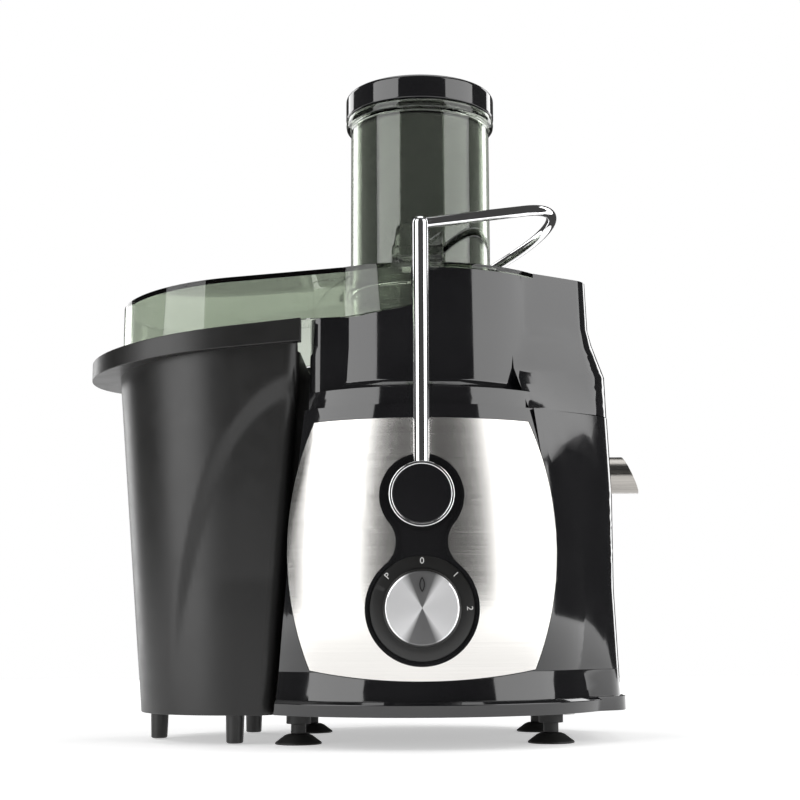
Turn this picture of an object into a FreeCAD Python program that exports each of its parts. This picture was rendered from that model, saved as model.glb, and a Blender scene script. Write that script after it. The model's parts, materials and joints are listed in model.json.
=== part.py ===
"""Centrifugal juicer: motor base, juice bowl, lid with feed chute, locking bail and pulp bin.

Geometry is laid out about the motor axis (x = 0, y = 0), front towards -Y, table at z = 0.
Every piece is moved by CENTRE_SHIFT when it is saved, so that the origin is at the bottom
centre of the whole machine. Millimetres.
"""
import FreeCAD, Part
import math
import os

V = FreeCAD.Vector

# ---------------------------------------------------------------- driving dimensions
CHUTE_OUTER_R = 41.0
CHUTE_WALL = 2.5
BARREL_MID_R = 104.0
BARREL_FOOT_R = 101.0
BARREL_TOP_R = 95.5
PLINTH_BOTTOM_Z = 16.4
FLANGE_TOP_Z = 23.9
PLINTH_TOP_Z = 38.3
BARREL_MID_Z = 107.0
SEAM_Z = 175.0
NECK_R = 80.5
NECK_FOOT_Z = 191.0
FILLET_FOOT_Z = 185.0
LID_TOP_Z = 253.7
COLLAR_R = 92.5
COLLAR_TOP_R = 90.0
CHUTE_TOP_Z = 359.3
CAP_R = 44.0
CAP_TOP_Z = 374.0
PIVOT_Z = 126.2
DIAL_Z = 69.8
BAIL_TOP_Z = 266.0
SPOUT_Z = 147.0
SPOUT_R = 10.5
SPOUT_TIP_X = 124.7
SPOUT_SHOULDER_X = 106.0
SPOUT_ROOT_R = 10.2
BIN_FLOOR_Z = 15.5
BIN_HALF_WIDTH = 72.5
BIN_CENTRE_X = -103.0
BIN_RIM_TIP_X = -190.0
BIN_LOW_WALL_Z = 208.0
SHELL = 2.6
PLATE = 2.4
SEAM_GAP = 0.5
RUN_GAP = 0.05

CENTRE_SHIFT = -(BIN_RIM_TIP_X + SPOUT_TIP_X) / 2
FRONT_Y = -118.0
FAR = 400.0

# locking bail: pivot plane, loop plane and its broad nose, rod sizes
BAIL_Y = 112.2
LOOP_SLOPE = 0.42
LOOP_NOSE_X = 77.5
LOOP_NOSE_R = 70.0
ARM_R = 4.0
LOOP_R = 3.0
STUB_R = 3.2
STUB_END_Y = 91.5

# motor shaft and the spinning basket
SHAFT_R = 4.0
BASKET_Z = 201.5
BASKET_FOOT_R = 38.0
BASKET_TOP_R = 55.4
BASKET_TOP_Z = 226.0

# left faces of the motor base and of the bin lean outwards towards the table
HOUSING_FACE = ((-62.0, SEAM_Z), (-76.0, 25.0))
BIN_FACE = ((-64.0, 224.0), (-78.6, BIN_FLOOR_Z))
BOWL_FACE_X = -60.0
BOWL_SIDE_Y = 70.0

# stations of the right flank: height, crease point on the barrel, outer face, corner
FLANK_BASE = (
    (PLINTH_BOTTOM_Z, 85.0, 53.0, 107.9, 38.0, 16.0),
    (PLINTH_TOP_Z, 84.0, 56.5, 106.9, 39.0, 17.0),
    (81.0, 80.5, 64.0, 104.8, 41.0, 18.0),
    (136.0, 74.0, 70.0, 105.2, 41.0, 20.0),
    (SEAM_Z, 68.5, 69.5, 103.6, 40.5, 20.0),
)
FLANK_BOWL = (
    (SEAM_Z + SEAM_GAP, 66.0, 68.0, 103.5, 40.5, 20.0),
    (199.0, 59.0, 60.0, 103.2, 39.0, 20.0),
    (217.0, 58.0, 57.0, 96.8, 35.5, 16.0),
    (226.0, 57.8, 56.3, 94.6, 33.5, 15.0),
    (LID_TOP_Z, 57.7, 56.0, 93.5, 32.4, 14.0),
)


# ---------------------------------------------------------------- shape helpers
def save(name, shape):
    """Moves a finished piece to the machine's own origin and writes it."""
    if shape.ShapeType != "Solid" and len(shape.Solids) == 1:
        shape = shape.Solids[0]
    shape = shape.copy()
    shape.translate(V(CENTRE_SHIFT, 0, 0))
    if not shape.isValid() or not shape.Solids:
        print("CHECK", name, shape.ShapeType, shape.isValid())
    shape.exportStep("parts/" + name + ".step")
    box = shape.BoundBox
    print("%-20s %9.0f  x %.1f %.1f  y %.1f %.1f  z %.1f %.1f  solids %d" % (
        name, shape.Volume, box.XMin, box.XMax, box.YMin, box.YMax, box.ZMin, box.ZMax,
        len(shape.Solids)))


def closed_wire(nodes, place):
    """Wire through nodes; a node of four values is an arc (through point, end point)."""
    edges = []
    last = place(*nodes[0][-2:])
    for node in list(nodes[1:]) + [nodes[0]]:
        end = place(*node[-2:])
        if len(node) == 4:
            edges.append(Part.Arc(last, place(*node[:2]), end).toShape())
        elif last.distanceToPoint(end) > 1e-6:
            edges.append(Part.makeLine(last, end))
        last = end
    return Part.Wire(edges)


def turned(nodes, x=0.0, y=0.0):
    """Solid of revolution about a vertical axis, from an (r, z) outline."""
    wire = closed_wire(nodes, lambda r, z: V(r, 0, z))
    solid = Part.Face(wire).revolve(V(0, 0, 0), V(0, 0, 1), 360)
    solid.translate(V(x, y, 0))
    return solid


def turned_y(nodes, x, z):
    """Solid of revolution about an axis along Y at (x, z), from an (r, y) outline."""
    wire = closed_wire(nodes, lambda r, y: V(r, y, 0))
    solid = Part.Face(wire).revolve(V(0, 0, 0), V(0, 1, 0), 360)
    solid.translate(V(x, 0, z))
    return solid


def rod(radius, start, end):
    """Cylinder between two points."""
    axis = end.sub(start)
    return Part.makeCylinder(radius, axis.Length, start, axis)


def ring(outer, inner, z0, z1, x=0.0, y=0.0):
    """Flat ring between two heights."""
    return turned([(inner, z0), (outer, z0), (outer, z1), (inner, z1)], x, y)


def ring_y(outer, inner, y0, y1, x, z):
    """Flat ring about an axis along Y."""
    return turned_y([(inner, y0), (outer, y0), (outer, y1), (inner, y1)], x, z)


def block(x0, x1, y0, y1, z0, z1):
    """Box between two corners."""
    return Part.makeBox(x1 - x0, y1 - y0, z1 - z0, V(x0, y0, z0))


def prism_xz(nodes, y0, y1):
    """Outline in the XZ plane drawn out along Y."""
    wire = closed_wire(nodes, lambda x, z: V(x, y0, z))
    return Part.Face(wire).extrude(V(0, y1 - y0, 0))


def prism_xy(nodes, z0, z1):
    """Outline in the XY plane drawn out along Z."""
    wire = closed_wire(nodes, lambda x, y: V(x, y, z0))
    return Part.Face(wire).extrude(V(0, 0, z1 - z0))


def loft(wires):
    """Solid with straight walls from wire to wire."""
    return Part.makeLoft(wires, True, True)


def union(shapes):
    """One clean solid from overlapping ones."""
    joined = shapes[0]
    for shape in shapes[1:]:
        joined = joined.fuse(shape)
    return joined.removeSplitter()


def below_plane(x0, z0, slope, x_from=-FAR, x_to=FAR):
    """Everything under the plane z = z0 + slope (x - x0), between two x values."""
    def height(x):
        return z0 + slope * (x - x0)
    return prism_xz([(x_from, -FAR), (x_to, -FAR), (x_to, height(x_to)), (x_from, height(x_from))],
                    -FAR, FAR)


def right_of_face(face, gap=0.0):
    """Everything to the right of a leaning left face, moved right by a gap."""
    (xa, za), (xb, zb) = face
    lean = (xb - xa) / (zb - za)
    return prism_xz([(xa + lean * (-50 - za) + gap, -50), (FAR, -50), (FAR, FAR),
                     (xa + lean * (FAR - za) + gap, FAR)], -FAR, FAR)


# ---------------------------------------------------------------- shared envelopes
def barrel(grow=0.0, z0=PLINTH_TOP_Z, z1=SEAM_Z):
    """Barrel-shaped body of the motor base; grow moves its wall outwards."""
    return turned([(0, z0), (BARREL_FOOT_R + grow, z0),
                   (BARREL_MID_R + grow, BARREL_MID_Z, BARREL_TOP_R + grow, z1), (0, z1)])


def flank_wire(station, grow):
    """Plan outline of the right flank at one height, with rounded outer corners."""
    z, crease_x, crease_y, face_x, corner_y, radius = station
    face_x += grow
    corner_y += grow
    crease_y += grow
    dx = face_x - crease_x
    dy = crease_y - corner_y
    side = math.hypot(dx, dy)
    back = 9.0
    start = (crease_x - back, -(crease_y + back * dy / dx))
    turn = math.atan2(dx, dy)
    tangent = radius * math.tan(turn / 2)
    on_side = (face_x - tangent * dx / side, -corner_y - tangent * dy / side)
    on_face = (face_x, -corner_y + tangent)
    centre = (face_x - radius, on_face[1])
    mid_angle = -turn / 2
    middle = (centre[0] + radius * math.cos(mid_angle), centre[1] + radius * math.sin(mid_angle))
    nodes = [(start[0], start[1]), on_side, middle + on_face, (on_face[0], -on_face[1]),
             (middle[0], -middle[1], on_side[0], -on_side[1]), (start[0], -start[1])]
    return closed_wire(nodes, lambda x, y: V(x, y, z))


def flank(stations, grow=0.0):
    """Right flank of the base or of the bowl."""
    return loft([flank_wire(station, grow) for station in stations])


def d_outline(centre_x, half, right_x, corner, nose=None):
    """Plan outline with a round nose on the left and a flat face on the right."""
    nose = half if nose is None else nose
    bend = corner * (1 - math.sqrt(0.5))
    return [(right_x - corner, -half), (centre_x, -half), (centre_x - nose, 0, centre_x, half),
            (right_x - corner, half), (right_x - bend, half - bend, right_x, half - corner),
            (right_x, corner - half), (right_x - bend, bend - half, right_x - corner, -half)]


def d_wire(z, centre_x, half, right_x, corner):
    """The same outline as a wire at one height."""
    nodes = d_outline(centre_x, half, right_x, corner)
    edges = []
    last = V(nodes[0][0], nodes[0][1], z)
    for node in nodes[1:]:
        end = V(node[-2], node[-1], z)
        if len(node) == 4:
            edges.append(Part.Arc(last, V(node[0], node[1], z), end).toShape())
        else:
            edges.append(Part.makeLine(last, end))
        last = end
    return Part.Wire(edges)


def tapered_d(z0, z1, inset=0.0):
    """Tapered body of the bin between two heights; inset moves its walls inwards."""
    def at(z):
        rise = (z - BIN_FLOOR_Z) / (224.0 - BIN_FLOOR_Z)
        (xa, za), (xb, zb) = BIN_FACE
        face = xb + (xa - xb) * rise - inset
        half = 59.0 + (BIN_HALF_WIDTH - 59.0) * rise - inset
        centre = -98.5 + (BIN_CENTRE_X + 98.5) * rise
        return d_wire(z, centre, half, face, 8.0)
    return loft([at(z0), at(z1)])


def panel_outline(grow=0.0):
    """Front panel outline: flat top, bulging sides and a sagging bottom edge."""
    return [(-56.2 - grow, 167.2 + grow), (56.2 + grow, 167.2 + grow),
            (70.0 + grow, 108.0, 57.6 + grow, 39.2 - grow),
            (0, 33.9 - grow, -57.6 - grow, 39.2 - grow),
            (-70.0 - grow, 108.0, -56.2 - grow, 167.2 + grow)]


def waisted_outline(top_r, bottom_r, waist_r):
    """Figure-of-eight outline around the bail pivot and the dial."""
    span = PIVOT_Z - DIAL_Z
    d_top = top_r + waist_r
    d_bottom = bottom_r + waist_r
    rise = (span ** 2 + d_bottom ** 2 - d_top ** 2) / (2 * span)
    cz = DIAL_Z + rise
    cx = math.sqrt(d_bottom ** 2 - rise ** 2)

    def towards(z, radius, distance):
        return (cx * radius / distance, z + (cz - z) * radius / distance)
    upper = towards(PIVOT_Z, top_r, d_top)
    lower = towards(DIAL_Z, bottom_r, d_bottom)
    return [(-upper[0], upper[1]), (0, PIVOT_Z + top_r, upper[0], upper[1]),
            (cx - waist_r, cz, lower[0], lower[1]),
            (0, DIAL_Z - bottom_r, -lower[0], lower[1]),
            (waist_r - cx, cz, -upper[0], upper[1])]


# ---------------------------------------------------------------- motor base
def plinth():
    """Skirt under the barrel with a wider foot flange."""
    flange = turned([(0, PLINTH_BOTTOM_Z), (106.5, PLINTH_BOTTOM_Z), (107.0, FLANGE_TOP_Z - 1.5),
                     (105.5, FLANGE_TOP_Z), (0, FLANGE_TOP_Z)])
    skirt = turned([(0, FLANGE_TOP_Z), (102.5, FLANGE_TOP_Z), (101.4, PLINTH_TOP_Z),
                    (0, PLINTH_TOP_Z)])
    side = flank((FLANK_BASE[0], FLANK_BASE[1]))
    foot = loft([flank_wire((z,) + FLANK_BASE[0][1:], 2.2) for z in (PLINTH_BOTTOM_Z, FLANGE_TOP_Z)])
    outer = union([flange, skirt, side, foot])
    hollow = union([
        turned([(0, PLINTH_BOTTOM_Z - 1), (99.0, PLINTH_BOTTOM_Z - 1), (98.5, PLINTH_TOP_Z + 1),
                (0, PLINTH_TOP_Z + 1)]),
        loft([flank_wire((z,) + FLANK_BASE[1][1:], -3.4) for z in (0.0, 60.0)])])
    shell = outer.cut(hollow)
    shell = shell.common(right_of_face(HOUSING_FACE))
    wall = right_of_face(HOUSING_FACE).cut(right_of_face(HOUSING_FACE, 3.0))
    wall = wall.common(outer).common(block(-FAR, FAR, -98.0, 98.0, PLINTH_BOTTOM_Z, PLINTH_TOP_Z))
    shell = union([shell, wall])
    recess = prism_xz(panel_outline(0.3), -FAR, 0).cut(panel_skin(-0.9))
    return shell.cut(recess)


def base_plate():
    """Bottom cover inside the plinth, with cooling slots and screw holes."""
    plate = turned([(0, PLINTH_BOTTOM_Z), (98.4, PLINTH_BOTTOM_Z), (98.4, PLINTH_BOTTOM_Z + 2.4),
                    (0, PLINTH_BOTTOM_Z + 2.4)])
    plate = plate.common(right_of_face(HOUSING_FACE, 3.6))
    for row in range(-3, 4):
        y = row * 9.0
        plate = plate.cut(block(-28, 28, y - 1.8, y + 1.8, 0, 30))
    for x, y in screw_places():
        plate = plate.cut(rod(2.1, V(x, y, 0), V(x, y, 40)))
    for x, y in foot_places():
        plate = plate.cut(rod(4.1, V(x, y, 0), V(x, y, 40)))
    return plate


def screw_places():
    """The four cover screws."""
    return [(x, y) for x in (-50.0, 78.0) for y in (-38.0, 38.0)]


def foot_places():
    """The four suction feet."""
    return [(x, y) for x in (-66.0, 68.0) for y in (-47.0, 47.0)]


def motor_housing():
    """Barrel and right flank, hollow, with an upper deck under the bowl."""
    outer = union([barrel(), flank(FLANK_BASE[1:])])
    inner_barrel = barrel(-SHELL, PLINTH_TOP_Z - 1, SEAM_Z - SHELL)
    inner_flank = loft([flank_wire((min(s[0], SEAM_Z - SHELL),) + s[1:], -SHELL)
                        for s in FLANK_BASE[1:]])
    inner_flank = inner_flank.fuse(loft([flank_wire((z,) + FLANK_BASE[1][1:], -SHELL)
                                         for z in (PLINTH_TOP_Z - 1, PLINTH_TOP_Z)]))
    hollow = inner_barrel.fuse(inner_flank).common(right_of_face(HOUSING_FACE, SHELL))
    shell = outer.common(right_of_face(HOUSING_FACE)).cut(hollow)
    recess = prism_xz(panel_outline(0.3), -FAR, 0).cut(panel_skin(-0.9))
    shell = shell.cut(recess)
    shell = shell.cut(rod(24.0, V(0, 0, SEAM_Z - 10), V(0, 0, SEAM_Z + 5)))
    shell = shell.cut(rod(9.0, V(0, -120, PIVOT_Z), V(0, -80, PIVOT_Z)))
    shell = shell.cut(rod(9.0, V(0, 80, PIVOT_Z), V(0, 120, PIVOT_Z)))
    shell = shell.cut(rod(8.0, V(0, -120, DIAL_Z), V(0, -80, DIAL_Z)))
    shell = shell.cut(rod(SPOUT_R + 3.4, V(80, 0, SPOUT_Z), V(125, 0, SPOUT_Z)))
    shell = shell.cut(block(76, 130, -SPOUT_R - 3.4, SPOUT_R + 3.4, SPOUT_Z, SEAM_Z + 5))
    shell = shell.cut(rod(7.2, V(30, 80, 52), V(30, 120, 52)))
    return shell.removeSplitter()


def front_panel():
    """Brushed sheet let into the front of the barrel."""
    sheet = prism_xz(panel_outline(), -FAR, 0).common(panel_skin(0.5)).cut(panel_skin(-0.8))
    sheet = sheet.cut(rod(8.5, V(0, -120, PIVOT_Z), V(0, -80, PIVOT_Z)))
    return sheet.cut(rod(7.6, V(0, -120, DIAL_Z), V(0, -80, DIAL_Z)))


def panel_skin(grow):
    """The barrel's arc carried on below the seam with the plinth, as the panel laps over it."""
    return turned([(0, 25.0), (BARREL_FOOT_R - 1.6 + grow, 25.0),
                   (BARREL_MID_R + grow, BARREL_MID_Z, BARREL_TOP_R + grow, SEAM_Z), (0, SEAM_Z)])


def control_bezel():
    """Figure-of-eight surround with a raised rim and two wells."""
    outline = waisted_outline(21.5, 28.7, 14.6)
    inner = waisted_outline(20.1, 27.3, 16.0)
    body = prism_xz(outline, -107.0, -60.0)
    body = body.cut(prism_xz(inner, -109.0, -105.8))
    body = body.cut(panel_skin(0.55))
    for z, well in ((PIVOT_Z, 17.6), (DIAL_Z, 26.4)):
        body = body.cut(rod(well, V(0, -120, z), V(0, -104.9, z)))
    body = body.cut(rod(5.0 + RUN_GAP, V(0, -120, PIVOT_Z), V(0, -60, PIVOT_Z)))
    return body.cut(rod(5.5, V(0, -120, DIAL_Z), V(0, -60, DIAL_Z)))


def dial_ring():
    """Sloping ring round the knob, in the lower well."""
    return turned_y([(5.5, -104.9), (26.3, -104.9), (26.3, -106.2), (20.9, -107.6), (5.5, -107.6)],
                    0, DIAL_Z)


def rear_boss():
    """Round pivot escutcheon at the back of the barrel."""
    disc = turned_y([(0, 60.0), (21.5, 60.0), (21.5, 103.8), (20.0, 105.2), (0, 105.2)], 0, PIVOT_Z)
    disc = disc.cut(barrel(0.05))
    return disc.cut(rod(5.0 + RUN_GAP, V(0, 50, PIVOT_Z), V(0, 120, PIVOT_Z)))


def suction_foot_stem(x, y):
    """Stepped peg that holds a suction cup under the base plate."""
    stem = turned([(0, 5.4), (4.0, 5.4), (4.0, 10.6), (6.5, 10.6), (6.5, PLINTH_BOTTOM_Z - 0.1),
                   (0, PLINTH_BOTTOM_Z - 0.1)], x, y)
    peg = rod(3.9, V(x, y, PLINTH_BOTTOM_Z - 0.1), V(x, y, PLINTH_BOTTOM_Z + 5))
    return stem.fuse(peg).removeSplitter()


def suction_cup(x, y):
    """Rubber cup with a hollow underside."""
    return turned([(0, 2.2), (6.0, 2.0), (10.8, 0), (12.4, 0), (12.4, 0.9), (7.4, 4.6), (5.6, 5.3),
                   (0, 5.3)], x, y)


def base_screws():
    """Pan-head screws of the base plate."""
    screws = []
    for x, y in screw_places():
        head = rod(3.6, V(x, y, PLINTH_BOTTOM_Z - 2.2), V(x, y, PLINTH_BOTTOM_Z))
        shank = rod(1.9, V(x, y, PLINTH_BOTTOM_Z), V(x, y, PLINTH_BOTTOM_Z + 12))
        screw = head.fuse(shank).removeSplitter()
        slot = block(x - 3.0, x + 3.0, y - 0.5, y + 0.5, 0, PLINTH_BOTTOM_Z - 1.2)
        screws.append(screw.cut(slot))
    return Part.Compound([part for screw in screws for part in screw.Solids])


def cord_inlet():
    """Bush in the rear wall where the supply lead enters."""
    bush = turned_y([(3.7, 88.0), (7.0, 88.0), (7.0, 103.2), (9.0, 103.2), (8.0, 110.0),
                     (3.7, 110.0)], 30, 52)
    return bush


# ---------------------------------------------------------------- bowl
def neck_envelope(radius, side_y, face_x, z0, z1):
    """Round neck whose left part runs out into a flat-sided pulp outlet."""
    round_part = Part.makeCylinder(radius, z1 - z0, V(0, 0, z0))
    outlet = prism_xy([(face_x, side_y - 8), (face_x + 2.35, side_y - 2.35, face_x + 8, side_y),
                       (-20, side_y), (-20, -side_y), (face_x + 8, -side_y),
                       (face_x + 2.35, 2.35 - side_y, face_x, 8 - side_y)], z0, z1)
    joined = round_part.fuse(outlet)
    return joined.common(block(face_x, FAR, -FAR, FAR, z0, z1)).removeSplitter()


def juice_bowl():
    """Bowl: collar over the base, round neck, flank on the right, drain to the spout."""
    z0 = SEAM_Z + SEAM_GAP
    neck = neck_envelope(NECK_R, BOWL_SIDE_Y, BOWL_FACE_X, z0, LID_TOP_Z - PLATE - 0.3)
    blend_r = COLLAR_TOP_R - NECK_R
    collar = turned([(0, z0), (COLLAR_R, z0), (COLLAR_TOP_R, FILLET_FOOT_Z),
                     (NECK_R + 0.293 * blend_r, FILLET_FOOT_Z + 0.293 * (NECK_FOOT_Z - FILLET_FOOT_Z),
                      NECK_R, NECK_FOOT_Z), (0, NECK_FOOT_Z)])
    collar = collar.common(block(BOWL_FACE_X, FAR, -FAR, FAR, 0, FAR))
    side = flank(FLANK_BOWL)
    outer = union([neck, collar, side])
    lid_seat = Part.makeCylinder(NECK_R + 1.2, 20, V(0, 0, LID_TOP_Z - PLATE - 0.3))
    outer = outer.cut(lid_seat)
    outer = outer.cut(above_skirt())
    room = neck_envelope(NECK_R - SHELL, BOWL_SIDE_Y - SHELL, BOWL_FACE_X + SHELL, 181.0, FAR)
    under = turned([(0, z0 - 1), (COLLAR_R - SHELL, z0 - 1), (COLLAR_R - SHELL, 178.4), (0, 178.4)])
    under = under.common(block(BOWL_FACE_X + SHELL, 78.0, -FAR, FAR, 0, FAR))
    bowl = outer.cut(room).cut(under)
    pocket = loft([flank_wire((z,) + FLANK_BOWL[2][1:], -SHELL) for z in (183.0, 214.0)])
    pocket = pocket.common(block(NECK_R + 0.2, FAR, -24, 24, 183.0, 214.0))
    bowl = bowl.cut(pocket)
    bowl = bowl.cut(block(60, 84, -12, 12, 181.0, 195.0))
    leg = block(80.0, 99.0, -SPOUT_R - 2.8, SPOUT_R + 2.8, SPOUT_Z, z0 + 1)
    leg = leg.fuse(rod(SPOUT_R + 2.8, V(80, 0, SPOUT_Z), V(99, 0, SPOUT_Z)))
    bowl = bowl.fuse(leg)
    bowl = bowl.cut(block(83.0, 96.0, -9.0, 9.0, SPOUT_Z, 190.0))
    bowl = bowl.cut(rod(9.0, V(83.0, 0, SPOUT_Z), V(96.0, 0, SPOUT_Z)))
    bowl = bowl.cut(rod(SPOUT_R - 1.0, V(94, 0, SPOUT_Z), V(120, 0, SPOUT_Z)))
    hub = ring(15.5, 12.0, 181.0, 192.0)
    bowl = bowl.fuse(hub).cut(rod(12.0, V(0, 0, 170), V(0, 0, 200)))
    return bowl.removeSplitter()


def above_skirt():
    """Room left of centre where the lid's skirt comes down over the bowl wall."""
    return prism_xz([(-5.0, 230.0), (-5.0, FAR), (-FAR, FAR), (-FAR, 225.2), (-60.0, 225.2),
                     (-32.0, 226.1)], -FAR, FAR)


def bowl_seal():
    """Rubber lip seal round the drive coupling."""
    return turned([(9.2, 183.0), (11.95, 183.0), (11.95, 190.0), (10.6, 190.0), (9.2, 187.5)])


def spout():
    """Steel juice spout: a bevelled end, longer below, and a thinner root inside the collar."""
    tube = rod(SPOUT_R, V(SPOUT_SHOULDER_X, 0, SPOUT_Z), V(SPOUT_TIP_X, 0, SPOUT_Z))
    tube = tube.fuse(rod(SPOUT_ROOT_R, V(99.05, 0, SPOUT_Z), V(SPOUT_SHOULDER_X + 0.5, 0, SPOUT_Z)))
    tube = tube.cut(rod(SPOUT_R - 1.0, V(90, 0, SPOUT_Z), V(130, 0, SPOUT_Z)))
    slant = prism_xz([(SPOUT_TIP_X, SPOUT_Z - SPOUT_R), (SPOUT_TIP_X - 9.4, SPOUT_Z + SPOUT_R),
                      (SPOUT_TIP_X - 9.4, SPOUT_Z + 30), (FAR, SPOUT_Z + 30),
                      (FAR, SPOUT_Z - SPOUT_R)], -50, 50)
    return tube.cut(slant)


def spout_collar():
    """Ring round the root of the spout."""
    collar = Part.makeCylinder(SPOUT_R + 2.6, 2.6, V(103.0, 0, SPOUT_Z), V(1, 0, 0))
    return collar.cut(rod(SPOUT_ROOT_R + 0.05, V(90, 0, SPOUT_Z), V(130, 0, SPOUT_Z)))


# ---------------------------------------------------------------- lid and pusher
def lid_body(inset, drop):
    """Round lid with a sloping extension over the bin; inset and drop give the inner face."""
    top = LID_TOP_Z - drop
    round_part = Part.makeCylinder(NECK_R + 0.9 - inset, 90, V(0, 0, top - 90))
    nose = prism_xy(d_outline(BIN_CENTRE_X, 69.5 - inset, -30.0, 2.0), top - 90, top)
    body = round_part.fuse(nose)
    body = body.common(below_plane(-43.0, top, 0.085, -FAR, FAR))
    return body.common(block(-FAR, FAR, -FAR, FAR, 0, top)).removeSplitter()


def lid_shape():
    """Translucent lid with skirt, chute socket, pulp gusset and the bail's two tabs."""
    lid = lid_body(0.0, 0.0).cut(lid_body(2.2, PLATE))
    keep = prism_xz([(-FAR, 225.4 + 0.11 * (-FAR + 63.0)), (-63.0, 225.4), (-60.0, 225.7),
                     (-32.0, 226.6), (-5.0, 230.4), (-5.0, LID_TOP_Z - PLATE),
                     (FAR, LID_TOP_Z - PLATE), (FAR, FAR), (-FAR, FAR)], -FAR, FAR)
    lid = lid.common(keep)
    boss = turned([(CHUTE_OUTER_R + 0.05, LID_TOP_Z - PLATE), (CHUTE_OUTER_R + 6, LID_TOP_Z - PLATE),
                   (CHUTE_OUTER_R + 6, LID_TOP_Z), (CHUTE_OUTER_R + 2.4, LID_TOP_Z + 1.6),
                   (CHUTE_OUTER_R + 1.8, LID_TOP_Z + 5.0), (CHUTE_OUTER_R + 0.05, LID_TOP_Z + 5.0)])
    lid = lid.fuse(boss)
    lid = lid.cut(Part.makeCylinder(CHUTE_OUTER_R + 0.05, 60, V(0, 0, 220)))
    for side in (-1, 1):
        y0, y1 = sorted((side * 64.0, side * 87.5))
        front0, front1 = sorted((side * 64.0, side * 96.0))
        seat0, seat1 = sorted((side * 86.0, side * 96.0))
        pad = block(-15.0, 12.0, front0, front1, LID_TOP_Z - 0.2, LID_TOP_Z + 5.0)
        seat = block(-5.0, 4.2, seat0, seat1, LID_TOP_Z, BAIL_TOP_Z - 3.6)
        tall = prism_xz([(-15.5, LID_TOP_Z), (-4.9, LID_TOP_Z), (-4.9, 272.6), (-9.6, 272.6),
                         (-12.0, 271.6, -13.0, 269.0)], y0, y1)
        low0, low1 = sorted((side * 64.0, side * 84.0))
        low = prism_xz([(4.9, LID_TOP_Z), (12.0, LID_TOP_Z), (12.0, 266.8), (11.2, 268.7, 9.4, 269.6),
                        (4.9, 269.6)], low0, low1)
        tabs = union([pad, seat, tall, low])
        lid = lid.fuse(tabs)
    gusset = prism_xz([(-58.0, 246.0), (-36.0, 249.5), (-51.0, 240.0, -58.0, 229.0)], -68.0, -65.8)
    lid = lid.fuse(gusset.common(lid_body(1.0, 1.0)))
    return lid.removeSplitter()


def chute():
    """Feed chute with a rolled top lip."""
    tube = ring(CHUTE_OUTER_R, CHUTE_OUTER_R - CHUTE_WALL, 222.0, CHUTE_TOP_Z - 2.0)
    lip = turned([(CHUTE_OUTER_R - CHUTE_WALL, CHUTE_TOP_Z - 2.4), (CHUTE_OUTER_R, CHUTE_TOP_Z - 6.0),
                  (CHUTE_OUTER_R + 2.6, CHUTE_TOP_Z - 4.6), (CHUTE_OUTER_R + 2.9, CHUTE_TOP_Z - 2.4),
                  (CHUTE_OUTER_R + 2.6, CHUTE_TOP_Z), (CHUTE_OUTER_R - CHUTE_WALL, CHUTE_TOP_Z)])
    return tube.fuse(lip).removeSplitter()


def pusher_body():
    """Hollow pusher that slides in the chute with a running clearance."""
    radius = CHUTE_OUTER_R - CHUTE_WALL - 1.0
    body = turned([(0, 244.0), (radius - 1.5, 244.0), (radius, 245.5), (radius, 366.0),
                   (radius - 2.2, 366.0), (radius - 2.2, 246.4), (0, 246.4)])
    return body


def pusher_cap():
    """Wide cap that stops the pusher on the chute's lip."""
    radius = CHUTE_OUTER_R - CHUTE_WALL - 1.0
    return turned([(0, 366.0), (radius, 366.0), (radius, CHUTE_TOP_Z + 0.4),
                   (CAP_R - 0.5, CHUTE_TOP_Z + 0.4), (CAP_R, CHUTE_TOP_Z + 1.0),
                   (CAP_R, CAP_TOP_Z - 2.6), (CAP_R - 0.76, CAP_TOP_Z - 0.76, CAP_R - 2.6, CAP_TOP_Z),
                   (CAP_R - 6.0, CAP_TOP_Z), (CAP_R - 8.0, CAP_TOP_Z - 1.2), (0, CAP_TOP_Z - 1.2)])


# ---------------------------------------------------------------- pulp bin
def rim_outline(grow):
    """Rim outline: straight sides and an elliptical nose, as a face at z = 0."""
    half = BIN_HALF_WIDTH + grow
    reach = BIN_CENTRE_X - BIN_RIM_TIP_X - 3.5 + grow
    centre = V(BIN_CENTRE_X, 0, 0)
    ellipse = Part.Ellipse(centre, reach, half)
    arc = Part.ArcOfEllipse(ellipse, math.pi / 2, 3 * math.pi / 2).toShape()
    top = V(BIN_CENTRE_X, half, 0)
    low = V(BIN_CENTRE_X, -half, 0)
    right = BIN_FACE[0][0]
    sides = [Part.makeLine(low, V(right, -half, 0)), Part.makeLine(V(right, -half, 0), V(right, half, 0)),
             Part.makeLine(V(right, half, 0), top)]
    return Part.Face(Part.Wire([arc] + sides))


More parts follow.
